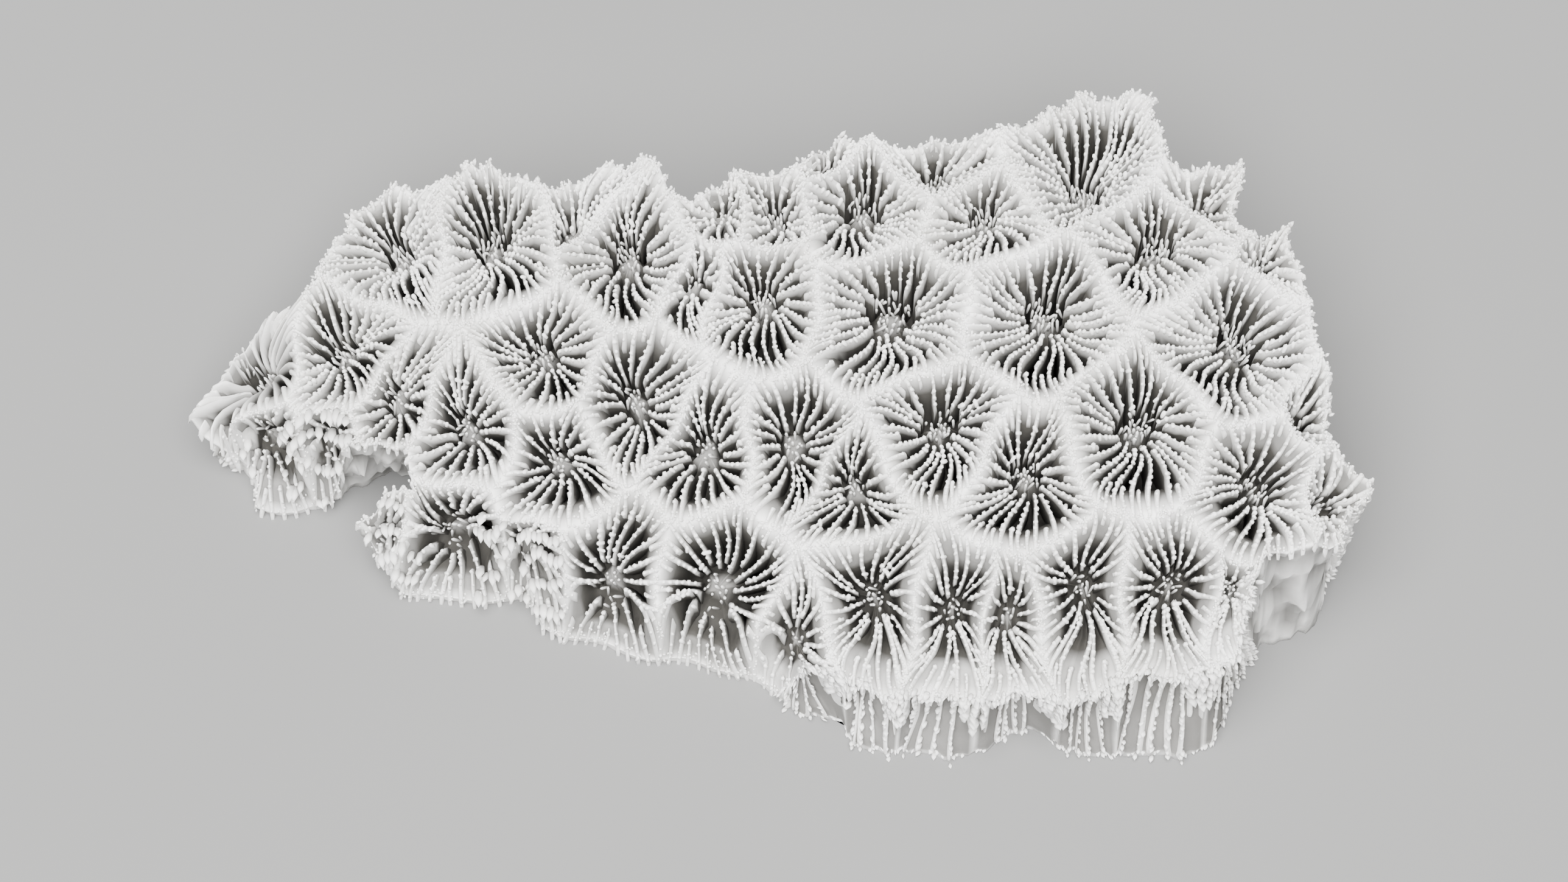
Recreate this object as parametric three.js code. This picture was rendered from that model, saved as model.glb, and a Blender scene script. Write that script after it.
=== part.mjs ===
// Moon coral: one broken piece of a massive colony, cut off flat where it grew on the reef.
// Its upper face is a low dome covered with funnel-shaped cups. Neighbouring cups share one sharp
// wall, and thin plates (septa) run down each wall to a small knob (columella) in the middle.
// Along the front the piece broke through a row of cups, which stand open there like half tubes.
// Millimetres, +Z up, origin in the middle of the flat cut base.
import * as THREE from 'three';

// The direction the specimen is described from: in front of it and well above it.
const VIEW_ELEVATION = 65;
const VIEW_DISTANCE = 358;
const AIM_HEIGHT = 12;

// The piece as a whole
const FULL_HEIGHT = 22;
const FOOT_HEIGHT = 0.8;
const MIDDLE = [-0.93, 2.85];

// Each line: a point on it, the heading uphill in degrees, and how softly the dome rises from it
const DOME_SIDES = {
  front: { through: [8, -26.5], uphill: 90, softness: 10 },
  frontLeft: { through: [-49.9, -3], uphill: 65, softness: 11 },
  backLeft: { through: [-50.5, 12], uphill: -40, softness: 5.5 },
  back: { through: [0, 39], uphill: -90, softness: 6 },
  right: { through: [53, 0], uphill: 180, softness: 5 },
};

// Cups
const CUP_DEPTH = 0.9; // of the cup's half width
const CUP_ROOM = 0.5; // room wanted from a cup's middle to its walls, of its half width
const MIDDLE_REACH = 3; // most a cup's middle is moved for that
const LEAST_FLOOR = 1.4; // stone left between a cup's floor and the cut base
const RIDGE_STEP = 1.38; // along a wall, from one ridge to the next groove
const CORNER_RISE = 0.9; // how far a wall stands up where three cups meet
const WALL_WAVE = 0.35;
const UPRIGHT = 0.5; // cups lean out with the dome: 0 square to it, 1 not at all
const KNOB_SHARE = 0.86; // the columella's top, as a share of the cup's depth
const SAME_POINT = 0.3;

// From a cup's rim to its middle: how deep the ridges and the grooves between them lie,
// as shares of the cup's depth, on a whole wall and on the broken front
const RINGS = [
  { inward: 0.13, ridge: 0.1, groove: 0.42, brokenRidge: 0.04, brokenGroove: 0.3 },
  { inward: 0.42, ridge: 0.5, groove: 1.0, brokenRidge: 0.3, brokenGroove: 0.72 },
  { inward: 0.74, ridge: 0.9, groove: 1.16, brokenRidge: 0.72, brokenGroove: 1.1 },
];

// Broken sides under a standing rim: the break left a half tube under each cup it ran through
const UNDERCUT = 1.6;
const TUBE_DEPTH = 0.17; // of the half tube's width
const RIB_DEPTH = 0.4;
const WAIST_ROOM = 0.35; // most of the way to the cup's middle that the side may reach in there
const FOOT_ROOM = 0.7; // and at its foot
const WAIST = 0.55; // height of the side's middle row, as a share of the rim's height

// Outline as seen, clockwise from the left tip: right, up, then the rim's height there as a share
// of the dome's (0 where the break reaches the base), then how far the side is undercut below the
// rim. Where that is below zero the side flares out to its foot.
const OUTLINE = [
  [-48.8, 1.3], [-45.3, 6.4], [-42.0, 9.9], [-38.4, 12.4], [-37.0, 16.0], [-35.2, 18.2],
  [-32.0, 20.1], [-29.0, 20.6], [-26.0, 22.2], [-24.0, 22.0], [-21.7, 21.4], [-20.0, 20.1],
  [-17.5, 20.3], [-14.8, 22.3], [-11.8, 23.0], [-10.5, 21.4], [-9.0, 19.7], [-6.5, 20.1],
  [-3.8, 21.4], [0.4, 21.6], [2.2, 23.2], [4.8, 24.4], [8.0, 23.9], [12.0, 24.3], [15.8, 24.2],
  [18.6, 25.3], [21.4, 27.0], [24.5, 28.0], [27.6, 27.3], [28.6, 28.2], [30.3, 27.7],
  [30.6, 25.2], [31.1, 22.6], [34.5, 22.0], [37.3, 22.0], [37.2, 20.0], [37.0, 17.5],
  [38.6, 16.0], [41.6, 16.8], [41.8, 13.8], [43.0, 11.0], [43.6, 8.7], [43.4, 7.0], [44.3, 5.0],
  [44.8, 2.0], [44.5, 0.0], [45.2, -2.2], [47.9, -3.8], [46.5, -6.2, 1, 0.5], [45.5, -8.6, 1, -1],
  [43.0, -9.2, 1, -1.6], [40.0, -10.0, 1, -2.2], [38.2, -11.5, 1, -1.6], [37.6, -14.5, 1, -1],
  [37.6, -18.4, 1, -1], [36.2, -19.3, 1, -2.4], [33.0, -19.3, 1, -3.6], [29.5, -19.6, 1, -3.8],
  [27.2, -20.8, 1, -2.9], [24.5, -21.3, 1, -2.3], [21.8, -21.5, 1, -0.6], [20.3, -21.9, 1, 1],
  [18.6, -21.4, 1, -1.3], [14.0, -21.4, 1, -2.7], [10.0, -21.2, 1, -2.9], [7.0, -20.4, 1, -2.8],
  [4.0, -19.6, 1, -2.3], [2.0, -18.6, 1, -1.8], [-0.9, -20.8, 0], [-2.3, -19.6, 0],
  [-5.0, -18.6, 0], [-10.5, -17.9, 0], [-15.0, -16.8, 0], [-20.0, -15.2, 0], [-22.0, -12.6, 0],
  [-24.6, -12.9, 0], [-28.0, -13.1, 0], [-30.8, -12.4, 0], [-32.4, -10.4, 0.3],
  [-34.8, -7.5, 1, 0.6], [-33.0, -5.2, 1, 0.6], [-30.2, -4.4, 1, 0.6], [-30.5, -1.2, 1, 3.5],
  [-33.0, -0.8, 1, 4.5], [-35.3, -0.6, 1, 3], [-37.4, -5.4, 0], [-40.5, -5.8, 0],
  [-43.4, -5.4, 0], [-44.2, -2.4, 0.1], [-46.6, -0.4, 0.5],
];

// Cups as seen: the middle of the rim, right and up, and the half width
const CUPS = [
  [24.3, 23.0, 5.6], [21.3, 10.2, 6.2], [8.8, 10.3, 6.2], [30.5, 15.5, 5.4], [37.0, 8.0, 6.6],
  [29.0, 1.0, 5.9], [38.7, -4.0, 5.0], [31.7, -11.8, 4.2], [24.5, -12.0, 3.9], [19.8, -3.0, 4.9],
  [12.8, 1.0, 5.2], [6.5, 18.8, 5.0], [16.3, 18.0, 4.3], [12.8, 22.6, 3.6], [35.0, 19.4, 3.0],
  [40.5, 14.2, 2.8], [43.3, 3.5, 2.8], [45.0, -5.0, 2.6], [36.3, -12.6, 2.0], [18.3, -14.3, 2.6],
  [13.8, -13.8, 3.6], [7.4, -12.8, 4.2], [5.8, -3.8, 3.6], [0.7, -0.4, 3.9], [-6.4, -0.8, 4.0],
  [-12.2, 3.2, 4.5], [-1.7, 11.5, 4.6], [-7.4, 12.8, 2.6], [-12.7, 15.0, 4.9], [-0.6, 19.0, 3.2],
  [3.7, 22.3, 1.8], [-4.9, 18.4, 1.9], [-17.0, 18.6, 2.7], [-24.0, 15.8, 5.2], [-31.3, 15.0, 4.4],
  [-36.2, 7.0, 4.4], [-43.3, 6.0, 3.8], [-42.3, -1.6, 3.2], [-37.4, -0.8, 2.4], [-31.9, 3.4, 3.4],
  [-26.0, 1.0, 4.1], [-19.8, 6.9, 4.4], [-18.6, -1.6, 4.0], [-27.6, -9.0, 4.2],
  [-33.4, -7.6, 1.3], [-20.6, -10.8, 2.2], [-14.2, -11.6, 4.0], [-5.6, -12.2, 4.6],
  [0.9, -16.4, 2.6],
];

const { cos, sin, exp, hypot, max, min, round } = Math;
const radians = THREE.MathUtils.degToRad;
const mix = THREE.MathUtils.lerp;
const UP = new THREE.Vector3(0, 0, 1);

// Height of the dome that the cups' rims lie on, before the walls are added to it
function domeHeight(x, y) {
  let height = FULL_HEIGHT;
  for (const { through, uphill, softness } of Object.values(DOME_SIDES)) {
    const heading = radians(uphill);
    const inside = (x - through[0]) * cos(heading) + (y - through[1]) * sin(heading);
    height *= 1 - exp(-max(inside, 0) / softness);
  }
  return height;
}

// The dome's outward direction
function domeNormal(x, y) {
  const reach = 0.5;
  const slopeX = (domeHeight(x + reach, y) - domeHeight(x - reach, y)) / (2 * reach);
  const slopeY = (domeHeight(x, y + reach) - domeHeight(x, y - reach)) / (2 * reach);
  return new THREE.Vector3(-slopeX, -slopeY, 1).normalize();
}

// Where the line of sight through a seen place meets the surface z = height(x, y)
function placeOnPiece(right, up, height) {
  const tilt = radians(VIEW_ELEVATION);
  const eye = new THREE.Vector3(0, -VIEW_DISTANCE * cos(tilt), AIM_HEIGHT + VIEW_DISTANCE * sin(tilt));
  const seen = new THREE.Vector3(right, up * sin(tilt), AIM_HEIGHT + up * cos(tilt));
  const sight = seen.sub(eye);
  const place = new THREE.Vector3();
  let z = FULL_HEIGHT / 2;
  for (let pass = 0; pass < 25; pass++) {
    place.copy(eye).addScaledVector(sight, (z - eye.z) / sight.z);
    z = mix(z, height(place.x, place.y), 0.5);
  }
  return [place.x, place.y];
}

function outlineCorner([right, up, rise = 1, undercut = UNDERCUT]) {
  const height = (x, y) => mix(FOOT_HEIGHT, domeHeight(x, y), rise);
  const [x, y] = placeOnPiece(right, up, height);
  return { x, y, rise, undercut: rise > 0.6 ? undercut : 0 };
}

function cupSite([right, up, halfWidth]) {
  const [x, y] = placeOnPiece(right, up, domeHeight);
  return { x, y, halfWidth };
}

// The side of a polygon nearest to a place: how far away it is, which it is and how far along it
function nearestSide({ x, y }, polygon) {
  let nearest = { away: Infinity };
  polygon.forEach((a, i) => {
    const b = polygon[(i + 1) % polygon.length];
    const [dx, dy] = [b.x - a.x, b.y - a.y];
    const along = ((x - a.x) * dx + (y - a.y) * dy) / (dx * dx + dy * dy);
    const share = min(max(along, 0), 1);
    const away = hypot(x - mix(a.x, b.x, share), y - mix(a.y, b.y, share));
    if (away < nearest.away) nearest = { away, a, b, share };
  });
  return nearest;
}

// The part of a polygon on one side of a line
function keepSide(polygon, x, y, towardX, towardY) {
  const kept = [];
  polygon.forEach((a, i) => {
    const b = polygon[(i + 1) % polygon.length];
    const insideA = (a.x - x) * towardX + (a.y - y) * towardY;
    const insideB = (b.x - x) * towardX + (b.y - y) * towardY;
    if (insideA >= 0) kept.push(a);
    if (insideA >= 0 !== insideB >= 0) {
      const share = insideA / (insideA - insideB);
      kept.push({ x: mix(a.x, b.x, share), y: mix(a.y, b.y, share) });
    }
  });
  return kept;
}

// A cup's ground: what is left of the outline when each neighbour has taken its side.
// A wall stands nearer to the smaller of its two cups.
function cupGround(site, sites, outline) {
  let ground = outline;
  for (const other of sites) {
    if (other === site) continue;
    const [dx, dy] = [other.x - site.x, other.y - site.y];
    const gain = (site.halfWidth ** 2 - other.halfWidth ** 2) / (2 * (dx * dx + dy * dy));
    const share = 0.5 + gain;
    ground = keepSide(ground, site.x + share * dx, site.y + share * dy, -dx, -dy);
  }
  return withoutSpikes(ground);
}

// Where a polygon runs out along a line and back again, it is cut short
function withoutSpikes(polygon) {
  const kept = polygon.filter((b, i) => {
    const a = polygon.at(i - 1);
    const c = polygon[(i + 1) % polygon.length];
    const [inX, inY, outX, outY] = [b.x - a.x, b.y - a.y, c.x - b.x, c.y - b.y];
    const turnsBack = inX * outX + inY * outY < -0.999 * hypot(inX, inY) * hypot(outX, outY);
    return !turnsBack && hypot(inX, inY) > 0.01;
  });
  return kept.length < polygon.length ? withoutSpikes(kept) : kept;
}

// How far inside every side's line a place lies
function roomAt({ x, y }, ground) {
  const rooms = ground.map((a, i) => {
    const b = ground[(i + 1) % ground.length];
    return ((b.y - a.y) * (x - a.x) - (b.x - a.x) * (y - a.y)) / hypot(b.x - a.x, b.y - a.y);
  });
  return min(...rooms);
}

// A cup's middle, moved away from a wall that has cut in close to it
function cupMiddle(site, ground) {
  let best = { worth: -Infinity };
  for (let dx = -MIDDLE_REACH; dx <= MIDDLE_REACH; dx += 0.25) {
    for (let dy = -MIDDLE_REACH; dy <= MIDDLE_REACH; dy += 0.25) {
      const place = { x: site.x + dx, y: site.y + dy };
      const room = min(roomAt(place, ground), CUP_ROOM * site.halfWidth);
      const worth = room - 0.1 * hypot(dx, dy);
      if (worth > best.worth) best = { ...place, worth, depth: CUP_DEPTH * min(site.halfWidth, room / CUP_ROOM) };
    }
  }
  return best;
}

const vertices = [];
const triangles = [];

function addVertex(place) {
  vertices.push(place);
  return vertices.length - 1;
}

function addQuad(a, b, c, d) {
  triangles.push([a, b, c], [a, c, d]);
}

// Points on the walls, shared by the cups on both sides
const wallPoints = [];

function wallPoint(x, y, rise) {
  let found = wallPoints.findIndex((p) => hypot(p.x - x, p.y - y) < SAME_POINT);
  if (found < 0) found = wallPoints.push({ x, y, rise, share: 1, middles: [] }) - 1;
  return found;
}

// A cup's ground sampled along its walls, as numbers of wall points
function walkRim(ground, middle) {
  const rim = [];
  ground.forEach((a, i) => {
    const b = ground[(i + 1) % ground.length];
    const steps = max(1, round(hypot(b.x - a.x, b.y - a.y) / RIDGE_STEP));
    for (let step = 0; step < steps; step++) {
      const share = step / steps;
      const rise = CORNER_RISE * (2 * share - 1) ** 2;
      rim.push(wallPoint(mix(a.x, b.x, share), mix(a.y, b.y, share), rise));
    }
  });
  const walked = rim.filter((point, i) => point !== rim[(i + 1) % rim.length]);
  for (const number of walked) wallPoints[number].middles.push(middle);
  return walked;
}

// The walls' ends on the outline, in order: every step that only one cup has
function walkOutline(rims) {
  const next = new Map();
  const steps = new Set();
  for (const rim of rims) rim.forEach((p, i) => steps.add(`${p},${rim[(i + 1) % rim.length]}`));
  for (const step of steps) {
    const [from, to] = step.split(',').map(Number);
    if (!steps.has(`${to},${from}`)) next.set(from, to);
  }
  const start = next.keys().next().value;
  const walk = [start];
  for (let at = next.get(start); at !== start; at = next.get(at)) walk.push(at);
  return walk;
}

// Walls are never quite straight
function waved(x, y) {
  return [x + WALL_WAVE * sin(0.9 * y + 0.4 * x), y + WALL_WAVE * sin(0.8 * x - 0.5 * y + 1)];
}

// A place over or under the dome, measured along the way the cups lean, which is upright along
// the outline. A broken edge lies lowered.
function onDome(x, y, above, lowered = 0, upright = 0) {
  const [wavedX, wavedY] = waved(x, y);
  const place = new THREE.Vector3(wavedX, wavedY, domeHeight(x, y) - lowered);
  place.addScaledVector(domeNormal(x, y).lerp(UP, mix(UPRIGHT, 1, upright)), above);
  place.z = max(place.z, FOOT_HEIGHT / 2);
  return addVertex(place);
}

function raiseWallPoint(point) {
  const { x, y, share } = point;
  point.rise *= share;
  point.lowered = (1 - share) * (domeHeight(x, y) - FOOT_HEIGHT);
  point.vertex = onDome(x, y, point.rise, point.lowered, point.onOutline ? 1 : 0);
}

// One cup: rings of ridges and grooves from its rim down to the columella
function buildCup(middle, rim) {
  const depth = min(middle.depth, (domeHeight(middle.x, middle.y) - LEAST_FLOOR) / 1.2);
  let outer = rim.map((number) => wallPoints[number].vertex);
  for (const { inward, ridge, groove, brokenRidge, brokenGroove } of RINGS) {
    outer = addRing(outer, rim.map((number, i) => {
      const { x, y, rise, share, lowered, onOutline } = wallPoints[number];
      const below = depth * (i % 2 ? mix(brokenGroove, groove, share) : mix(brokenRidge, ridge, share));
      const above = rise * (1 - inward) - below;
      const outward = 1 - inward;
      return onDome(mix(x, middle.x, inward), mix(y, middle.y, inward), above,
        lowered * outward, onOutline ? outward : 0);
    }));
  }
  const knob = onDome(middle.x, middle.y, -depth * KNOB_SHARE);
  outer.forEach((a, i) => triangles.push([outer[(i + 1) % outer.length], a, knob]));
}

function addRing(outer, inner) {
  outer.forEach((a, i) => {
    const next = (i + 1) % outer.length;
    addQuad(outer[next], a, inner[i], inner[next]);
  });
  return inner;
}

// How far a half tube reaches in at one of the outline's points: a wall between two cups ends
// flush with the side, and the half tubes lie between those ends
function tubeDepth(walk, i) {
  const { x, y } = wallPoints[walk[i]];
  const toWallEnd = (step) => {
    let k = i;
    while (wallPoints[walk[k]].middles.length < 2) k = (k + step + walk.length) % walk.length;
    return hypot(wallPoints[walk[k]].x - x, wallPoints[walk[k]].y - y);
  };
  const [before, after] = [toWallEnd(-1), toWallEnd(1)];
  return before * after ? 4 * TUBE_DEPTH * before * after / (before + after) : 0;
}

// The broken side: half tubes ribbed by the edges of the plates
function buildSideAndBase(walk) {
  const count = walk.length;
  const insets = walk.map((number, i) => {
    const { x, y, middles, undercut, share } = wallPoints[number];
    const inward = new THREE.Vector3();
    for (const middle of middles) inward.add(new THREE.Vector3(middle.x - x, middle.y - y, 0));
    const room = inward.length() / middles.length;
    const foot = min(undercut, FOOT_ROOM * room);
    const tube = min(tubeDepth(walk, i), max(WAIST_ROOM * room - WAIST * foot, 0));
    const rib = i % 2 ? RIB_DEPTH : -RIB_DEPTH;
    inward.normalize();
    return { foot: inward.clone().multiplyScalar(foot), waist: inward.multiplyScalar(share * (tube + rib)) };
  });
  const feet = walk.map((number, i) => {
    const foot = new THREE.Vector3();
    for (const [k, weight] of [[-1, 0.25], [0, 0.5], [1, 0.25]]) {
      const near = (i + k + count) % count;
      const rim = vertices[wallPoints[walk[near]].vertex];
      foot.addScaledVector(rim, weight).addScaledVector(insets[near].foot, weight);
    }
    return foot.setZ(0);
  });
  const rows = walk.map((number, i) => {
    const waist = vertices[wallPoints[number].vertex].clone().lerp(feet[i], WAIST).add(insets[i].waist);
    return { waist: addVertex(waist), foot: addVertex(feet[i]) };
  });
  walk.forEach((point, i) => {
    const next = (i + 1) % count;
    const [a, b] = [wallPoints[point].vertex, wallPoints[walk[next]].vertex];
    addQuad(a, b, rows[next].waist, rows[i].waist);
    addQuad(rows[i].waist, rows[next].waist, rows[next].foot, rows[i].foot);
  });
  const contour = rows.map(({ foot }) => new THREE.Vector2(vertices[foot].x, vertices[foot].y));
  for (const face of THREE.ShapeUtils.triangulateShape(contour, [])) {
    const corners = face.map((corner) => contour[corner]);
    const facesDown = THREE.ShapeUtils.area(corners) < 0;
    const feet = face.map((corner) => rows[corner].foot);
    triangles.push(facesDown ? feet : feet.reverse());
  }
}

function buildColony() {
  const outline = OUTLINE.map(outlineCorner);
  const sites = CUPS.map(cupSite);
  const grounds = sites.map((site) => cupGround(site, sites, outline));
  const middles = sites.map((site, i) => cupMiddle(site, grounds[i]));
  const rims = grounds.map((ground, i) => walkRim(ground, middles[i]));
  const walk = walkOutline(rims);
  for (const point of walk.map((number) => wallPoints[number])) {
    const { a, b, share } = nearestSide(point, outline);
    point.share = mix(a.rise, b.rise, share);
    point.undercut = mix(a.undercut, b.undercut, share);
    point.onOutline = true;
  }
  wallPoints.forEach(raiseWallPoint);
  rims.forEach((rim, i) => buildCup(middles[i], rim));
  buildSideAndBase(walk);
  const geometry = new THREE.BufferGeometry();
  geometry.setAttribute('position', new THREE.Float32BufferAttribute(
    vertices.flatMap(({ x, y, z }) => [x - MIDDLE[0], y - MIDDLE[1], z]), 3));
  geometry.setIndex(triangles.flat());
  geometry.computeVertexNormals();
  return geometry;
}

// Bleached aragonite skeleton: chalk white and dull
const skeleton = new THREE.MeshStandardMaterial({ color: 0xe9e8e4, roughness: 0.85, metalness: 0 });
const colony = new THREE.Mesh(buildColony(), skeleton);
colony.name = 'coral_colony';

const moonCoral = new THREE.Group();
moonCoral.add(colony);

export default moonCoral;
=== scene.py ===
# %% [markdown]
# # A piece of bleached moon coral
# A moon coral is a colony. Every cup held one polyp, and neighbouring cups share their wall.
# This piece was broken from a dome, cut flat underneath, and bleached chalk white.
#
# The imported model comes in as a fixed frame. Everything below is fitted to it: lengths are in
# millimetres while a shape is worked out, and turned into Blender's metres when a mesh is made.

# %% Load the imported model
import math

import bpy
import numpy as np
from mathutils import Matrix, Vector


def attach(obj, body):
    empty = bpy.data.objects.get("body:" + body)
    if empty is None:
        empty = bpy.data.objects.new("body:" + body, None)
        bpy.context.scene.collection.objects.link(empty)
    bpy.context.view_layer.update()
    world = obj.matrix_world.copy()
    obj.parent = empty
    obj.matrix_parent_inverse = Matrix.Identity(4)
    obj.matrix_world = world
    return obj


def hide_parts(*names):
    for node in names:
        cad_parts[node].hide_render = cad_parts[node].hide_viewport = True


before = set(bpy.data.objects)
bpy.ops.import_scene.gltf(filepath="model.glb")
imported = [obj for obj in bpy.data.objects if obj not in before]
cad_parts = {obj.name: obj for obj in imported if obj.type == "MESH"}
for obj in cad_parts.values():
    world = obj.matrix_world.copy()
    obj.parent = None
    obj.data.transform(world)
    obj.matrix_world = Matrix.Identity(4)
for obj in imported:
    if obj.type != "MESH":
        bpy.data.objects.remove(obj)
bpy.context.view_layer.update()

MM = 0.001
COLONY = "coral_colony"

# %% [markdown]
# ## The dome and the line of sight
# The rims of all cups lie on one low dome. A product of soft ramps, one for each side of the
# piece, makes such a dome: each ramp is 0 outside its side and rises towards 1 inside it.
# The piece is described as it is seen from in front and well above, so a seen place is brought
# down onto the dome along its line of sight.

# %% Dome
VIEW_ELEVATION = 65.0
VIEW_DISTANCE = 358.0
AIM_HEIGHT = 12.0
FULL_HEIGHT = 22.0
FOOT_HEIGHT = 0.8
MIDDLE = np.array([-0.93, 2.85])

# Each side: a point on it, the heading uphill in degrees, how softly the dome rises from it
DOME_SIDES = {
    "front": ((8, -26.5), 90, 10),
    "front left": ((-49.9, -3), 65, 11),
    "back left": ((-50.5, 12), -40, 5.5),
    "back": ((0, 39), -90, 6),
    "right": ((53, 0), 180, 5),
}


def mix(a, b, share):
    return a + (b - a) * share


def dome_height(x, y):
    height = FULL_HEIGHT
    for (px, py), uphill, softness in DOME_SIDES.values():
        heading = math.radians(uphill)
        inside = (x - px) * math.cos(heading) + (y - py) * math.sin(heading)
        height = height * (1 - np.exp(-np.maximum(inside, 0) / softness))
    return height


def dome_normal(x, y):
    reach = 0.5
    slope_x = (dome_height(x + reach, y) - dome_height(x - reach, y)) / (2 * reach)
    slope_y = (dome_height(x, y + reach) - dome_height(x, y - reach)) / (2 * reach)
    normal = np.stack([-slope_x, -slope_y, np.ones_like(slope_x)], axis=-1)
    return normal / np.linalg.norm(normal, axis=-1, keepdims=True)


print("dome over the middle, mm:", round(float(dome_height(0, 0)), 2))

# %% Line of sight
TILT = math.radians(VIEW_ELEVATION)
EYE = np.array([0, -VIEW_DISTANCE * math.cos(TILT), AIM_HEIGHT + VIEW_DISTANCE * math.sin(TILT)])


def place_on_piece(right, up, height):
    sight = np.array([right, up * math.sin(TILT), AIM_HEIGHT + up * math.cos(TILT)]) - EYE
    z = FULL_HEIGHT / 2
    for _ in range(25):
        x, y, _ = EYE + sight * (z - EYE[2]) / sight[2]
        z = mix(z, float(height(x, y)), 0.5)
    return float(x), float(y)


def seen_at(place):
    """How far right and up in the picture plane a place of the coral is seen."""
    sight = place + np.array([MIDDLE[0], MIDDLE[1], 0]) - EYE
    away = sight[1] * math.cos(TILT) - sight[2] * math.sin(TILT)
    up = sight[1] * math.sin(TILT) + sight[2] * math.cos(TILT)
    return VIEW_DISTANCE * sight[0] / away, VIEW_DISTANCE * up / away


print("seen middle lies at", [round(c, 2) for c in place_on_piece(0, 0, dome_height)])

# %% [markdown]
# ## From plan to space
# One function carries every place of the coral from plan to space. Its "above" is measured along
# the way the cups lean, half way between square to the dome and straight up. Because all the
# pieces use this one mapping, plates, beads and knobs sit on the body by themselves.

# %% Place on the dome
WALL_WAVE = 0.35
UPRIGHT = 0.5


def on_dome(x, y, above, lowered=0.0, upright=0.0):
    x, y, above, lowered, upright = np.broadcast_arrays(x, y, above, lowered, upright)
    lean = dome_normal(x, y)
    straight = mix(UPRIGHT, 1, upright)[..., None]
    lean = mix(lean, np.array([0.0, 0.0, 1.0]), straight)
    place = np.stack([
        x + WALL_WAVE * np.sin(0.9 * y + 0.4 * x) - MIDDLE[0],
        y + WALL_WAVE * np.sin(0.8 * x - 0.5 * y + 1) - MIDDLE[1],
        dome_height(x, y) - lowered,
    ], axis=-1) + lean * above[..., None]
    place[..., 2] = np.maximum(place[..., 2], 0.0)
    return place


print("a place 4 mm down in the middle:", [round(float(c), 1) for c in on_dome(0, 0, -4)])

# %% [markdown]
# ## Where the cups stand
# The 49 cups and the outline are noted as they are seen: right, up, and the cup's half width.
# Polyps grow against each other until they meet, so each cup's ground is what is left of the
# piece when every neighbour has taken its side. A wall stands nearer to the smaller cup.

# %% Cups and outline as seen
CUPS = [
    (24.3, 23.0, 5.6), (21.3, 10.2, 6.2), (8.8, 10.3, 6.2), (30.5, 15.5, 5.4), (37.0, 8.0, 6.6),
    (29.0, 1.0, 5.9), (38.7, -4.0, 5.0), (31.7, -11.8, 4.2), (24.5, -12.0, 3.9), (19.8, -3.0, 4.9),
    (12.8, 1.0, 5.2), (6.5, 18.8, 5.0), (16.3, 18.0, 4.3), (12.8, 22.6, 3.6), (35.0, 19.4, 3.0),
    (40.5, 14.2, 2.8), (43.3, 3.5, 2.8), (45.0, -5.0, 2.6), (36.3, -12.6, 2.0), (18.3, -14.3, 2.6),
    (13.8, -13.8, 3.6), (7.4, -12.8, 4.2), (5.8, -3.8, 3.6), (0.7, -0.4, 3.9), (-6.4, -0.8, 4.0),
    (-12.2, 3.2, 4.5), (-1.7, 11.5, 4.6), (-7.4, 12.8, 2.6), (-12.7, 15.0, 4.9), (-0.6, 19.0, 3.2),
    (3.7, 22.3, 1.8), (-4.9, 18.4, 1.9), (-17.0, 18.6, 2.7), (-24.0, 15.8, 5.2), (-31.3, 15.0, 4.4),
    (-36.2, 7.0, 4.4), (-43.3, 6.0, 3.8), (-42.3, -1.6, 3.2), (-37.4, -0.8, 2.4), (-31.9, 3.4, 3.4),
    (-26.0, 1.0, 4.1), (-19.8, 6.9, 4.4), (-18.6, -1.6, 4.0), (-27.6, -9.0, 4.2), (-33.4, -7.6, 1.3),
    (-20.6, -10.8, 2.2), (-14.2, -11.6, 4.0), (-5.6, -12.2, 4.6), (0.9, -16.4, 2.6),
]
UNDERCUT = 1.6

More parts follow.
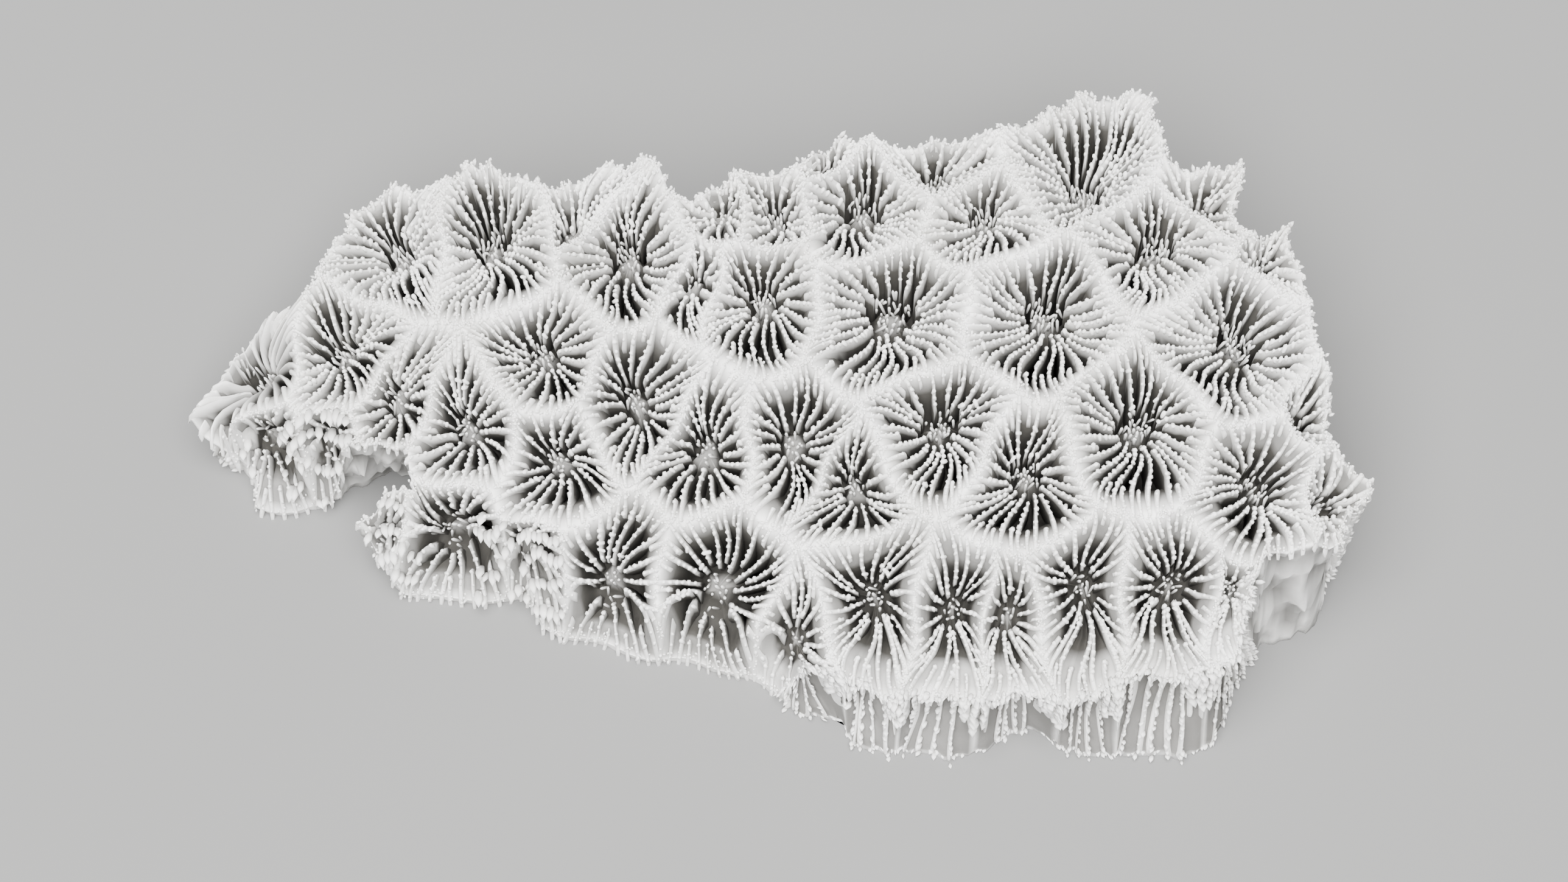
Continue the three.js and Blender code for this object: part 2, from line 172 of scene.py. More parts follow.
# Clockwise from the left tip: right, up, the rim's height there as a share of the dome's, and
# how far the side is undercut below the rim (below zero it flares out)
OUTLINE = [
    (-48.8, 1.3), (-45.3, 6.4), (-42.0, 9.9), (-38.4, 12.4), (-37.0, 16.0), (-35.2, 18.2),
    (-32.0, 20.1), (-29.0, 20.6), (-26.0, 22.2), (-24.0, 22.0), (-21.7, 21.4), (-20.0, 20.1),
    (-17.5, 20.3), (-14.8, 22.3), (-11.8, 23.0), (-10.5, 21.4), (-9.0, 19.7), (-6.5, 20.1),
    (-3.8, 21.4), (0.4, 21.6), (2.2, 23.2), (4.8, 24.4), (8.0, 23.9), (12.0, 24.3), (15.8, 24.2),
    (18.6, 25.3), (21.4, 27.0), (24.5, 28.0), (27.6, 27.3), (28.6, 28.2), (30.3, 27.7),
    (30.6, 25.2), (31.1, 22.6), (34.5, 22.0), (37.3, 22.0), (37.2, 20.0), (37.0, 17.5),
    (38.6, 16.0), (41.6, 16.8), (41.8, 13.8), (43.0, 11.0), (43.6, 8.7), (43.4, 7.0), (44.3, 5.0),
    (44.8, 2.0), (44.5, 0.0), (45.2, -2.2), (47.9, -3.8), (46.5, -6.2, 1, 0.5), (45.5, -8.6, 1, -1),
    (43.0, -9.2, 1, -1.6), (40.0, -10.0, 1, -2.2), (38.2, -11.5, 1, -1.6), (37.6, -14.5, 1, -1),
    (37.6, -18.4, 1, -1), (36.2, -19.3, 1, -2.4), (33.0, -19.3, 1, -3.6), (29.5, -19.6, 1, -3.8),
    (27.2, -20.8, 1, -2.9), (24.5, -21.3, 1, -2.3), (21.8, -21.5, 1, -0.6), (20.3, -21.9, 1, 1),
    (18.6, -21.4, 1, -1.3), (14.0, -21.4, 1, -2.7), (10.0, -21.2, 1, -2.9), (7.0, -20.4, 1, -2.8),
    (4.0, -19.6, 1, -2.3), (2.0, -18.6, 1, -1.8), (-0.9, -20.8, 0), (-2.3, -19.6, 0),
    (-5.0, -18.6, 0), (-10.5, -17.9, 0), (-15.0, -16.8, 0), (-20.0, -15.2, 0), (-22.0, -12.6, 0),
    (-24.6, -12.9, 0), (-28.0, -13.1, 0), (-30.8, -12.4, 0), (-32.4, -10.4, 0.3),
    (-34.8, -7.5, 1, 0.6), (-33.0, -5.2, 1, 0.6), (-30.2, -4.4, 1, 0.6), (-30.5, -1.2, 1, 3.5),
    (-33.0, -0.8, 1, 4.5), (-35.3, -0.6, 1, 3), (-37.4, -5.4, 0), (-40.5, -5.8, 0),
    (-43.4, -5.4, 0), (-44.2, -2.4, 0.1), (-46.6, -0.4, 0.5),
]


def outline_corner(right, up, rise=1, undercut=UNDERCUT):
    x, y = place_on_piece(right, up, lambda x, y: mix(FOOT_HEIGHT, dome_height(x, y), rise))
    return {"x": x, "y": y, "rise": rise, "undercut": undercut if rise > 0.6 else 0}


def cup_site(right, up, half_width):
    x, y = place_on_piece(right, up, dome_height)
    return {"x": x, "y": y, "seen": (right, up), "half_width": half_width}


outline = [outline_corner(*seen) for seen in OUTLINE]
cups = [cup_site(*seen) for seen in CUPS]
print(len(cups), "cups inside", len(outline), "outline corners")

# %% Each cup's ground
def keep_side(polygon, x, y, toward_x, toward_y):
    kept = []
    for a, b in zip(polygon, polygon[1:] + polygon[:1]):
        inside_a = (a[0] - x) * toward_x + (a[1] - y) * toward_y
        inside_b = (b[0] - x) * toward_x + (b[1] - y) * toward_y
        if inside_a >= 0:
            kept.append(a)
        if (inside_a >= 0) != (inside_b >= 0):
            share = inside_a / (inside_a - inside_b)
            kept.append((mix(a[0], b[0], share), mix(a[1], b[1], share)))
    return kept


def without_spikes(polygon):
    kept = []
    for a, b, c in zip(polygon[-1:] + polygon[:-1], polygon, polygon[1:] + polygon[:1]):
        way_in = np.subtract(b, a)
        way_out = np.subtract(c, b)
        turns_back = way_in @ way_out < -0.999 * np.linalg.norm(way_in) * np.linalg.norm(way_out)
        if not turns_back and np.linalg.norm(way_in) > 0.01:
            kept.append(b)
    return without_spikes(kept) if len(kept) < len(polygon) else kept


def cup_ground(cup):
    ground = [(corner["x"], corner["y"]) for corner in outline]
    for other in cups:
        if other is cup:
            continue
        dx, dy = other["x"] - cup["x"], other["y"] - cup["y"]
        share = 0.5 + (cup["half_width"] ** 2 - other["half_width"] ** 2) / (2 * (dx * dx + dy * dy))
        ground = keep_side(ground, cup["x"] + share * dx, cup["y"] + share * dy, -dx, -dy)
    return without_spikes(ground)


for cup in cups:
    cup["ground"] = cup_ground(cup)
print("sides of a cup:", min(len(c["ground"]) for c in cups), "to", max(len(c["ground"]) for c in cups))

# %% Each cup's middle and depth
CUP_DEPTH = 0.9
CUP_ROOM = 0.5
MIDDLE_REACH = 3.0
LEAST_FLOOR = 1.0
FLOOR_SHARE = 1.35  # the lowest floor of a cup as a share of its depth, with some to spare


def room_at(x, y, ground):
    rooms = []
    for (ax, ay), (bx, by) in zip(ground, ground[1:] + ground[:1]):
        rooms.append(((by - ay) * (x - ax) - (bx - ax) * (y - ay)) / math.hypot(bx - ax, by - ay))
    return np.min(rooms, axis=0)


# Where the columella of a broken cup is seen, by the cup's number
BROKEN_MIDDLES = {37: (-42.4, 0.9), 38: (-37.4, 0.8), 43: (-27.0, -7.0), 45: (-21.0, -10.0)}
LEAST_ROOM = 0.8
TIERED_CUPS = (38, 44, 45)  # broken along their septa into tiers of scales
HALF_TIERED_CUPS = {37: 1.2, 43: 2.1}  # the same on both sides of an open strip: its half width, mm


def roomiest_place(cup):
    steps = np.arange(-MIDDLE_REACH, MIDDLE_REACH + 0.01, 0.25)
    dx, dy = np.meshgrid(steps, steps, indexing="ij")
    room = room_at(cup["x"] + dx, cup["y"] + dy, cup["ground"])
    room = np.minimum(room, CUP_ROOM * cup["half_width"])
    worth = room - 0.1 * np.hypot(dx, dy)
    best = np.unravel_index(np.argmax(worth), worth.shape)
    return cup["x"] + dx[best], cup["y"] + dy[best], worth[best]


def settle_middle(cup):
    """The middle is moved until the columella, deep in the cup, is seen where it was noted."""
    x, y, worth = roomiest_place(cup)
    right, up = BROKEN_MIDDLES.get(cups.index(cup), cup["seen"])
    wanted = CUP_DEPTH * min(cup["half_width"], worth / CUP_ROOM + 0.2)
    for _ in range(40):
        depth = min(wanted, (dome_height(x, y) - LEAST_FLOOR) / FLOOR_SHARE)
        seen_right, seen_up = seen_at(on_dome(x, y, -depth))
        nearer_x = x + 0.2 * (right - seen_right)
        nearer_y = y + 0.2 * (up - seen_up) / math.sin(TILT)
        if room_at(nearer_x, nearer_y, cup["ground"]) < min(LEAST_ROOM, 0.4 * cup["half_width"]):
            break
        x, y = nearer_x, nearer_y
    cup["middle"] = (float(x), float(y))
    cup["depth"] = float(depth)


for cup in cups:
    settle_middle(cup)
print("cup depths, mm:", [round(float(c["depth"]), 1) for c in cups])

# %% [markdown]
# ## The walls
# A wall belongs to two cups, so its points are stored once and both cups use the same ones.
# That keeps the surface closed without any merging. A wall stands highest at its corners,
# where three cups meet: those are the pointed hoods behind the cups.

# %% Points along the walls
RIDGE_STEP = 1.38
CORNER_RISE = 1.5
HIGHEST_RIM = 21.85
SAME_POINT = 0.3
wall_points = []


def wall_point(x, y, rise):
    for number, point in enumerate(wall_points):
        if abs(point["x"] - x) < SAME_POINT and math.hypot(point["x"] - x, point["y"] - y) < SAME_POINT:
            return number
    wall_points.append({"x": x, "y": y, "rise": rise, "share": 1.0, "undercut": 0.0,
                        "upright": 0.0, "lowered": 0.0, "shut": 1.0, "middles": []})
    return len(wall_points) - 1


def walk_rim(cup):
    rim = []
    ground = cup["ground"]
    for (ax, ay), (bx, by) in zip(ground, ground[1:] + ground[:1]):
        steps = max(1, math.floor(math.hypot(bx - ax, by - ay) / RIDGE_STEP + 0.5))
        for step in range(steps):
            share = step / steps
            x, y = mix(ax, bx, share), mix(ay, by, share)
            rise = CORNER_RISE * abs(2 * share - 1) ** 2.4
            rim.append(wall_point(x, y, min(rise, HIGHEST_RIM - float(dome_height(x, y)))))
    rim = [point for point, after in zip(rim, rim[1:] + rim[:1]) if point != after]
    for number in rim:
        wall_points[number]["middles"].append(cup["middle"])
    return rim


for cup in cups:
    cup["rim"] = walk_rim(cup)
print(len(wall_points), "wall points")

# %% The walls' ends on the outline
def walk_outline():
    steps = {(p, q) for cup in cups for p, q in zip(cup["rim"], cup["rim"][1:] + cup["rim"][:1])}
    following = {p: q for p, q in sorted(steps) if (q, p) not in steps}
    start = min(following)
    walk = [start]
    while following[walk[-1]] != start:
        walk.append(following[walk[-1]])
    return walk


def nearest_side(x, y):
    nearest = (math.inf, None, None, 0)
    for a, b in zip(outline, outline[1:] + outline[:1]):
        dx, dy = b["x"] - a["x"], b["y"] - a["y"]
        along = ((x - a["x"]) * dx + (y - a["y"]) * dy) / (dx * dx + dy * dy)
        share = min(max(along, 0), 1)
        away = math.hypot(x - mix(a["x"], b["x"], share), y - mix(a["y"], b["y"], share))
        if away < nearest[0]:
            nearest = (away, a, b, share)
    return nearest[1:]


HALF_OPEN = 0.4  # how shut the front cups are, over the edge where the base flares out

outer_walk = walk_outline()
for number in outer_walk:
    point = wall_points[number]
    a, b, share = nearest_side(point["x"], point["y"])
    point["share"] = mix(a["rise"], b["rise"], share)
    point["undercut"] = mix(a["undercut"], b["undercut"], share)
    point["upright"] = 1.0
    point["shut"] = point["share"] * mix(1, HALF_OPEN, min(max(-point["undercut"], 0), 1))
    point["rise"] *= point["share"]
    dome_here = float(dome_height(point["x"], point["y"]))
    point["lowered"] = (1 - point["share"]) * (dome_here - FOOT_HEIGHT)
print(len(outer_walk), "points round the outline")

# %% Finer points between them
FINE = 4  # parts that a step along a wall is split into
FIELDS = ("x", "y", "rise", "share", "shut", "lowered", "upright", "undercut")
fine_numbers = {}
fine_points = []


def refine(walk):
    fine = []
    for p, q in zip(walk, walk[1:] + walk[:1]):
        for k in range(FINE):
            key = (p, p, 0) if k == 0 else (p, q, k) if p < q else (q, p, FINE - k)
            if key not in fine_numbers:
                a, b = wall_points[key[0]], wall_points[key[1]]
                fine_numbers[key] = len(fine_points)
                fine_points.append([mix(a[f], b[f], key[2] / FINE) for f in FIELDS])
            fine.append(fine_numbers[key])
    return fine


for cup in cups:
    cup["fine"] = refine(cup["rim"])
outer_fine = refine(outer_walk)
walls = {field: np.array(column) for field, column in zip(FIELDS, zip(*fine_points))}
print(len(fine_points), "fine wall points")

# %% Crests of the walls
crest = on_dome(walls["x"], walls["y"], walls["rise"], walls["lowered"], walls["upright"])
print("rims stand up to", round(float(crest[:, 2].max()), 2), "mm")

# %% [markdown]
# ## Inside a cup
# A cup is a funnel. Two curves describe it from the rim (0) to the middle (1), as shares of the
# cup's depth: how deep the tops of the plates lie, and how deep the spaces between them go.
# Near the rim the spaces are shallow, further in they are deep and dark, and a low pillar in the
# middle carries the columella. Where the piece broke through a cup, both curves are flatter.

# %% Depth curves
ALONG = [0, 0.05, 0.11, 0.18, 0.25, 0.31, 0.37, 0.43, 0.51, 0.64, 0.76, 0.84, 0.91, 1]
TOP = [0, 0.02, 0.06, 0.13, 0.22, 0.31, 0.40, 0.49, 0.60, 0.77, 0.89, 0.95, 1.0, 1.0]
FLOOR = [0, 0.05, 0.14, 0.25, 0.36, 0.47, 0.58, 0.69, 0.81, 0.99, 1.13, 1.18, 1.18, 1.18]
PIT = [0, 0, 0, 0.03, 0.12, 0.30, 0.62, 0.9, 1, 1, 0.6, 0.1, 0, 0]
BROKEN_TOP = [0, 0.01, 0.03, 0.06, 0.12, 0.20, 0.28, 0.36, 0.46, 0.64, 0.82, 0.92, 1.0, 1.0]
BROKEN_FLOOR = [0.08, 0.13, 0.20, 0.28, 0.36, 0.45, 0.54, 0.64, 0.75, 0.95, 1.10, 1.20, 1.24, 1.24]
PIT_DEPTH = 1.85  # of a cup's depth
THICK_WALL = 0.11  # how much further in the pits of the front cups start


def read_curves(inward, broken, whole, share):
    return mix(np.interp(inward, ALONG, broken), np.interp(inward, ALONG, whole), share)


def top_depth(cup, inward, share):
    return cup["depth"] * read_curves(inward, BROKEN_TOP, TOP, share)


def floor_depth(cup, inward, share):
    upper = cup["depth"] * read_curves(inward, BROKEN_FLOOR, FLOOR, share)
    start = inward + 0.2 * (share - 1) - THICK_WALL * cup["in_front"]
    pit = np.interp(start, ALONG, PIT) * mix(0.5, 1, share)
    return mix(upper, np.maximum(cup["pit"], upper), pit)


# %% [markdown]
# ## Painted shade between the plates
# The depths between the plates are painted grey as shade: the deeper a point lies, the greyer.
# Every point of a mesh carries that as a share from 0, white, to 1, grey, and the material reads
# it. A painted picture would do too, but a number on each point follows the shape by itself.

# %% Shares of painted shade
DARKEST = 1.35  # depth below the plates' tops at which the painted shade is full, mm
# shares of painted shade: on deep plates, on the floor between them, how much less over the ledge, and in a
# funnel's middle
DEEP_SHADE = 0.33
FLOOR_SHADE = 0.8
LEDGE_SHADE_CUT = 0.5
MIDDLE_SHADE = 0.8


def painted_shade_share(below_tops):
    return np.clip(below_tops / DARKEST, 0, 1)


def deep_painted_shade(inward):
    """Painted shade on the plates too: a little greyer further down in a cup."""
    return DEEP_SHADE * np.clip((inward - 0.2) / 0.4, 0, 1)


def floor_painted_shade(cup, inward, share):
    """Painted shade between the plates, full under tiers of scales, and less of it where a front cup opens
    over the ledge.
    """
    if cups.index(cup) in TIERED_CUPS:
        return FLOOR_SHADE * np.clip(inward / 0.08, 0, 1)
    over_ledge = mix(1 - LEDGE_SHADE_CUT * cup["in_front"], 1, share)
    return FLOOR_SHADE * np.clip((inward - 0.02) / 0.17, 0, 1) * over_ledge


for cup in cups:
    cup["in_front"] = any(wall_points[number]["undercut"] < 0 for number in cup["rim"])
    cup["pit"] = min(PIT_DEPTH * cup["depth"], float(dome_height(*cup["middle"])) - LEAST_FLOOR)
print("deepest pit, mm:", round(max(cup["pit"] for cup in cups), 1))

# %% Look up a cup's rim in any direction
def rim_field(cup):
    fine = cup["fine"]
    mx, my = cup["middle"]
    dx, dy = walls["x"][fine] - mx, walls["y"][fine] - my
    heading = np.arctan2(dy, dx)
    order = np.argsort(heading)
    table = {"heading": heading[order], "reach": np.hypot(dx, dy)[order]}
    for field in ("rise", "shut", "lowered", "upright"):
        table[field] = walls[field][fine][order]
    return table


def inside_cup(cup, x, y):
    """How far in a place lies, and what the rim is like on that side."""
    table = cup["field"]
    dx, dy = x - cup["middle"][0], y - cup["middle"][1]
    heading = np.arctan2(dy, dx)
    rim = {field: np.interp(heading, table["heading"], table[field], period=2 * math.pi)
           for field in ("reach", "rise", "shut", "lowered", "upright")}
    inward = np.clip(1 - np.hypot(dx, dy) / rim["reach"], 0, 1)
    return inward, rim


def place_in_cup(cup, x, y, above_top=None, above_floor=None, raised=0.0):
    """A place over the plates' tops, or over the floor between them, or a share between the two."""
    inward, rim = inside_cup(cup, x, y)
    top = -top_depth(cup, inward, rim["shut"])
    floor = -floor_depth(cup, inward, rim["shut"])
    above = top + above_top if above_floor is None else floor + above_floor
    if above_top is not None and above_floor is not None:
        above = mix(floor + above_floor, top + above_top, raised)
    outward = 1 - inward
    return on_dome(x, y, above + rim["rise"] * outward, rim["lowered"] * outward, rim["upright"] * outward)


for cup in cups:
    cup["field"] = rim_field(cup)
reach = np.concatenate([cup["field"]["reach"] for cup in cups])
print("from a middle to its walls:", round(float(reach.min()), 2), "to", round(float(reach.max()), 2), "mm")

# %% [markdown]
# ## The body of the colony
# The body could be carved from a block, but its 49 funnels share their walls, so it is laid out
# as a net instead: rings of points run from each rim down to its middle, the outer side hangs
# from the outline, and one flat face closes the cut base.

# %% Rings of the funnels
body_places = list(crest)
# painted shade share of each body point; the crests get none
body_painted_shade = [0.0] * len(crest)
body_faces = []


def add_places(places, pits=0.0):
    first = len(body_places)
    body_places.extend(places)
    body_painted_shade.extend(np.broadcast_to(pits, len(places)))
    return list(range(first, first + len(places)))


def add_band(outer, inner):
    for i in range(len(outer)):
        j = (i + 1) % len(outer)
        body_faces.append((outer[j], outer[i], inner[i], inner[j]))


def add_funnel(cup):
    fine = cup["fine"]
    outer = fine
    for inward in ALONG[1:-1]:
        x = mix(walls["x"][fine], cup["middle"][0], inward)
        y = mix(walls["y"][fine], cup["middle"][1], inward)
        floor = floor_depth(cup, inward, walls["shut"][fine])
        outward = 1 - inward
        above = walls["rise"][fine] * outward - floor
        places = on_dome(x, y, above, walls["lowered"][fine] * outward, walls["upright"][fine] * outward)
        # painted shade: greyer the further the floor lies below the plates' tops, and further in the cup
        below = floor - top_depth(cup, inward, walls["shut"][fine])
        shade_amount = np.maximum(painted_shade_share(below), floor_painted_shade(cup, inward, walls["shut"][fine]))
        inner = add_places(places, shade_amount)
        add_band(outer, inner)
        outer = inner
    deepest = -cup["depth"] * FLOOR[-1]
    # the funnel's middle gets painted shade too
    bottom = add_places([on_dome(*cup["middle"], deepest)], MIDDLE_SHADE)[0]
    for i in range(len(outer)):
        body_faces.append((outer[(i + 1) % len(outer)], outer[i], bottom))


for cup in cups:
    add_funnel(cup)
print(len(body_faces), "faces in the funnels")

# %% [markdown]
# ## The broken side
# The break ran through a row of cups and left half tubes standing open, side by side. Between
# two walls the side is therefore hollow, and at a wall's end it stands out. Above the front edge
# of the base it flares outwards, and two stretches of it are worn to smooth lumps.

# %% Half tubes
TUBE_DEPTH = 0.3
WAIST_ROOM = 0.35
FOOT_ROOM = 0.7
SIDE_ROWS = [0.04, 0.09, 0.16, 0.24, 0.33, 0.42, 0.51, 0.60, 0.69, 0.78, 0.86, 0.93, 0.97]


def wall_end_lengths():
    """For each fine point of the outline, the way back and on to the ends of the cups' walls."""
    place = np.stack([walls["x"][outer_fine], walls["y"][outer_fine]], axis=1)
    step = np.linalg.norm(np.roll(place, -1, axis=0) - place, axis=1)
    length = np.concatenate([[0], np.cumsum(step)])
    ends = [FINE * i for i, number in enumerate(outer_walk) if len(wall_points[number]["middles"]) > 1]
    at = length[ends]
    lap = length[-1]
    before = np.array([min((s - at) % lap) for s in length[:-1]])
    after = np.array([min((at - s) % lap) for s in length[:-1]])
    return before, after, length


def inward_ways():
    """Unit way inwards and the room there, for each fine point of the outline."""
    ways = []
    for number in outer_walk:
        point = wall_points[number]
        ways.append(np.mean([np.subtract(m, (point["x"], point["y"])) for m in point["middles"]], axis=0))
    ways = np.array(ways)
    following = np.roll(ways, -1, axis=0)
    fine = np.concatenate([mix(ways, following, k / FINE)[:, None] for k in range(FINE)], axis=1)
    fine = fine.reshape(-1, 2)
    room = np.linalg.norm(fine, axis=1)
    return fine / room[:, None], room


def smoothed(values, reach):
    total = sum(np.roll(values, k, axis=0) for k in range(-reach, reach + 1))
    return total / (2 * reach + 1)


before, after, outline_length = wall_end_lengths()
way_in, room_in = inward_ways()
rim_row = crest[outer_fine]
foot_inset = np.minimum(walls["undercut"][outer_fine], FOOT_ROOM * room_in)
foot_row = rim_row.copy()
foot_row[:, :2] += way_in * foot_inset[:, None]
foot_row = smoothed(foot_row, 4)
way_round = np.arange(len(foot_row))
ragged = np.sin(0.9 * way_round) + np.sin(1.7 * way_round + 1) + np.sin(0.31 * way_round + 2)
foot_row[:, :2] += way_in * (0.16 * ragged + 0.2)[:, None] * np.clip(rim_row[:, 2:] / 4, 0, 1)
foot_row[:, 2] = 0
tube = 4 * TUBE_DEPTH * before * after / np.maximum(before + after, 0.01)
waist = np.maximum(WAIST_ROOM * room_in - 0.5 * foot_inset, 0)
tube = np.minimum(tube, waist) * walls["share"][outer_fine]
SMOOTH_CORNER = 38.5  # right of this the front side is worn smooth, mm
NOTCH = (-37.0, -27.5)  # and so is the side of the notch on the left
under = walls["undercut"][outer_fine]
worn = (under < 0) & (rim_row[:, 0] > SMOOTH_CORNER)
worn |= (under >= 0.3) & (rim_row[:, 0] > NOTCH[0]) & (rim_row[:, 0] < NOTCH[1]) & (rim_row[:, 1] < 0)
lumpy = np.where(worn, 0.5, 0.14) * np.clip(rim_row[:, 2] / 6, 0, 1)
print("half tubes up to", round(float(tube.max()), 2), "mm deep")

# %% Side and cut base
def side_lumps(at, down):
    """Worn hollows (above zero) and lumps of the side."""
    broad = np.sin(0.55 * at + 13 * down) + np.sin(0.31 * at - 19 * down + 1)
    broad = broad + np.sin(0.8 * at + 5 * down + 2)
    return 0.7 * broad + 0.9 * np.sin(1.6 * at + 9 * down) * np.sin(0.7 * at - 23 * down)


def side_place(at, down, out=0.0):
    """A place on the side: at along the outline's fine points, down from rim (0) to foot (1)."""
    low = np.floor(at).astype(int) % len(rim_row)
    high = (low + 1) % len(rim_row)
    part = (at - np.floor(at))[..., None]
    rim = mix(rim_row[low], rim_row[high], part)
    foot = mix(foot_row[low], foot_row[high], part)
    way = mix(way_in[low], way_in[high], part)
    hollow = mix(tube[low], tube[high], part[..., 0]) * np.sin(math.pi * np.clip(down, 0, 0.93) ** 0.8)
    lumps = side_lumps(at, down) * np.sin(math.pi * np.minimum(down, 1))
    hollow = hollow + mix(lumpy[low], lumpy[high], part[..., 0]) * lumps
    place = mix(rim, foot, np.asarray(down)[..., None])
    place[..., :2] += way * (hollow - out)[..., None]
    return place


def add_side():
    at = np.arange(len(outer_fine), dtype=float)
    upper = outer_fine
    for down in SIDE_ROWS:
        # painted shade in the side's half tubes and hollows; the worn stretches get a mid grey that is
        # darker in their hollows
        shade_amount = np.where(under < 0, 1.4, 0.8) * tube + 2 * lumpy
        shade_amount = np.where(worn, 0.5 + 0.24 * side_lumps(at, down), shade_amount)
        lower = add_places(side_place(at, np.full_like(at, down)), np.clip(shade_amount, 0.08, 0.85))
        add_band(lower, upper)
        upper = lower
    foot = add_places(foot_row)
    add_band(foot, upper)
    return foot


foot_numbers = add_side()
body_faces.append(tuple(foot_numbers))
print(len(body_faces), "faces in the body")

# %% [markdown]
# ## Making a mesh
# Blender's own operators turn the net into a finished mesh: faces are made to point outwards,
# and shading is smoothed. Everything else is deselected first, because an operator works on all
# that is selected.

# %% Mesh helpers
def pick(piece):
    bpy.ops.object.select_all(action="DESELECT")
    piece.select_set(True)
    bpy.context.view_layer.objects.active = piece


def finish_mesh(piece, smooth_angle=None):
    pick(piece)
    bpy.ops.object.mode_set(mode="EDIT")
    bpy.ops.mesh.select_all(action="SELECT")
    bpy.ops.mesh.normals_make_consistent(inside=False)
    bpy.ops.object.mode_set(mode="OBJECT")
    if smooth_angle is None:
        bpy.ops.object.shade_smooth()
    else:
        bpy.ops.object.shade_smooth_by_angle(angle=math.radians(smooth_angle))


def make_piece(name, places, faces, pits=0.0, smooth_angle=None):
    """A mesh from places in mm. Its attribute "pit" carries painted shade, more the further down between
    the plates a point is.
    """
    places = np.array(places)
    if not np.isfinite(places).all():
        raise ValueError(name + " has a place that isn't a number")
    places[:, 2] = np.maximum(places[:, 2], 0)
    mesh = bpy.data.meshes.new(name)
    mesh.from_pydata((places * MM).tolist(), [], faces)
    down = mesh.attributes.new("pit", "FLOAT", "POINT")
    down.data.foreach_set("value", np.broadcast_to(pits, len(places)).astype(np.float32).ravel())
    piece = bpy.data.objects.new(name, mesh)
    bpy.context.collection.objects.link(piece)
    finish_mesh(piece, smooth_angle)
    triangles = sum(len(p.vertices) - 2 for p in mesh.polygons)
    print(name, "has", triangles, "triangles")
    return piece


body = make_piece("coral_body", body_places, body_faces, body_painted_shade)

# %% [markdown]
# ## Septa
# A septum is a thin upright plate that runs down a cup's wall towards the middle. About half of
# the plates reach the middle, the rest stop part of the way. One blank plate is modelled: a bar,
# cut into short lengths and rounded along its top. Every septum is a copy of it, bent along its
# own way and cut to the depth of its own cup.

# %% Blank plate
def blank_plate(lengths):
    bpy.ops.object.select_all(action="DESELECT")
    bpy.ops.mesh.primitive_cube_add(size=1, location=(0.5, 0, 0.5))
    piece = bpy.context.object
    bpy.ops.object.transform_apply(location=True, rotation=False, scale=False)
    select_edges(piece, lambda a, b: abs(a.x - b.x) > 0.5)
    bpy.ops.mesh.subdivide(number_cuts=lengths - 1)
    select_edges(piece, lambda a, b: min(a.z, b.z) > 0.9 and abs(a.x - b.x) > 0.01)
    bpy.ops.mesh.bevel(offset=0.3, segments=1, affect="EDGES")
    bpy.ops.object.mode_set(mode="OBJECT")
    return take_shape(piece)


def clear_selection(kind):
    """Nothing of the mesh stays selected; what is then picked in object mode shows in edit mode."""
    bpy.ops.object.mode_set(mode="EDIT")
    bpy.ops.mesh.select_mode(type=kind)
    bpy.ops.mesh.select_all(action="DESELECT")
    bpy.ops.object.mode_set(mode="OBJECT")


def select_edges(piece, wanted):
    clear_selection("EDGE")
    for edge in piece.data.edges:
        edge.select = wanted(*(piece.data.vertices[v].co for v in edge.vertices))
    bpy.ops.object.mode_set(mode="EDIT")


def select_points(piece, wanted):
    clear_selection("VERT")
    for vertex in piece.data.vertices:
        vertex.select = wanted(vertex.co)
    bpy.ops.object.mode_set(mode="EDIT")


def take_shape(piece):
    """The blank's points and faces; the blank itself is put away."""
    places = np.array([v.co[:] for v in piece.data.vertices])
    faces = [tuple(p.vertices) for p in piece.data.polygons]
    bpy.data.objects.remove(piece, do_unlink=True)
    return places, faces


def copies_of(faces, blank_size, count):
    """The blank's faces once for each copy."""
    made = []
    for copy in range(count):
        shift = copy * blank_size
        made.extend([tuple(v + shift for v in face) for face in faces])
    return made


plate_blank = blank_plate(9)
print("blank plate:", len(plate_blank[1]), "faces")


# %% Where the septa start
SEPTUM_SPACING = 0.86
rng = np.random.default_rng(11)


def rim_starts(cup):
    """Starts of the septa round a cup's rim, and the way inwards from the wall at each."""
    fine = cup["fine"]
    place = np.stack([walls["x"][fine], walls["y"][fine]], axis=1)
    step = np.linalg.norm(np.roll(place, -1, axis=0) - place, axis=1)
    length = np.concatenate([[0], np.cumsum(step)])
    count = max(12, 2 * round(length[-1] / SEPTUM_SPACING / 2))
    at = (np.arange(count) + rng.uniform(-0.14, 0.14, count)) * length[-1] / count
    number = np.interp(at % length[-1], length, np.arange(len(fine) + 1))
    low = np.floor(number).astype(int) % len(fine)
    high = (low + 1) % len(fine)
    start = mix(place[low], place[high], (number - np.floor(number))[:, None])
    tangent = place[(low + 3) % len(fine)] - place[(low - 2) % len(fine)]
    normal = np.stack([tangent[:, 1], -tangent[:, 0]], axis=1)
    normal /= np.linalg.norm(normal, axis=1)[:, None]
    toward = np.array(cup["middle"]) - start
    normal *= np.sign(np.sum(normal * toward, axis=1))[:, None]
    on_edge = walls["upright"][fine][low] > 0.9
    share = walls["shut"][fine][low]
    return start, normal, on_edge, share


def columella_reach(cup):
    return max(0.23 * cup["half_width"], 0.45)


for cup in cups:
    cup["starts"] = rim_starts(cup)
print(sum(len(cup["starts"][0]) for cup in cups), "septa")

# %% The way of each septum
STRAIGHT_OUT = np.array([0.25, 1.0])  # the septa of a broken cup run nearly side by side


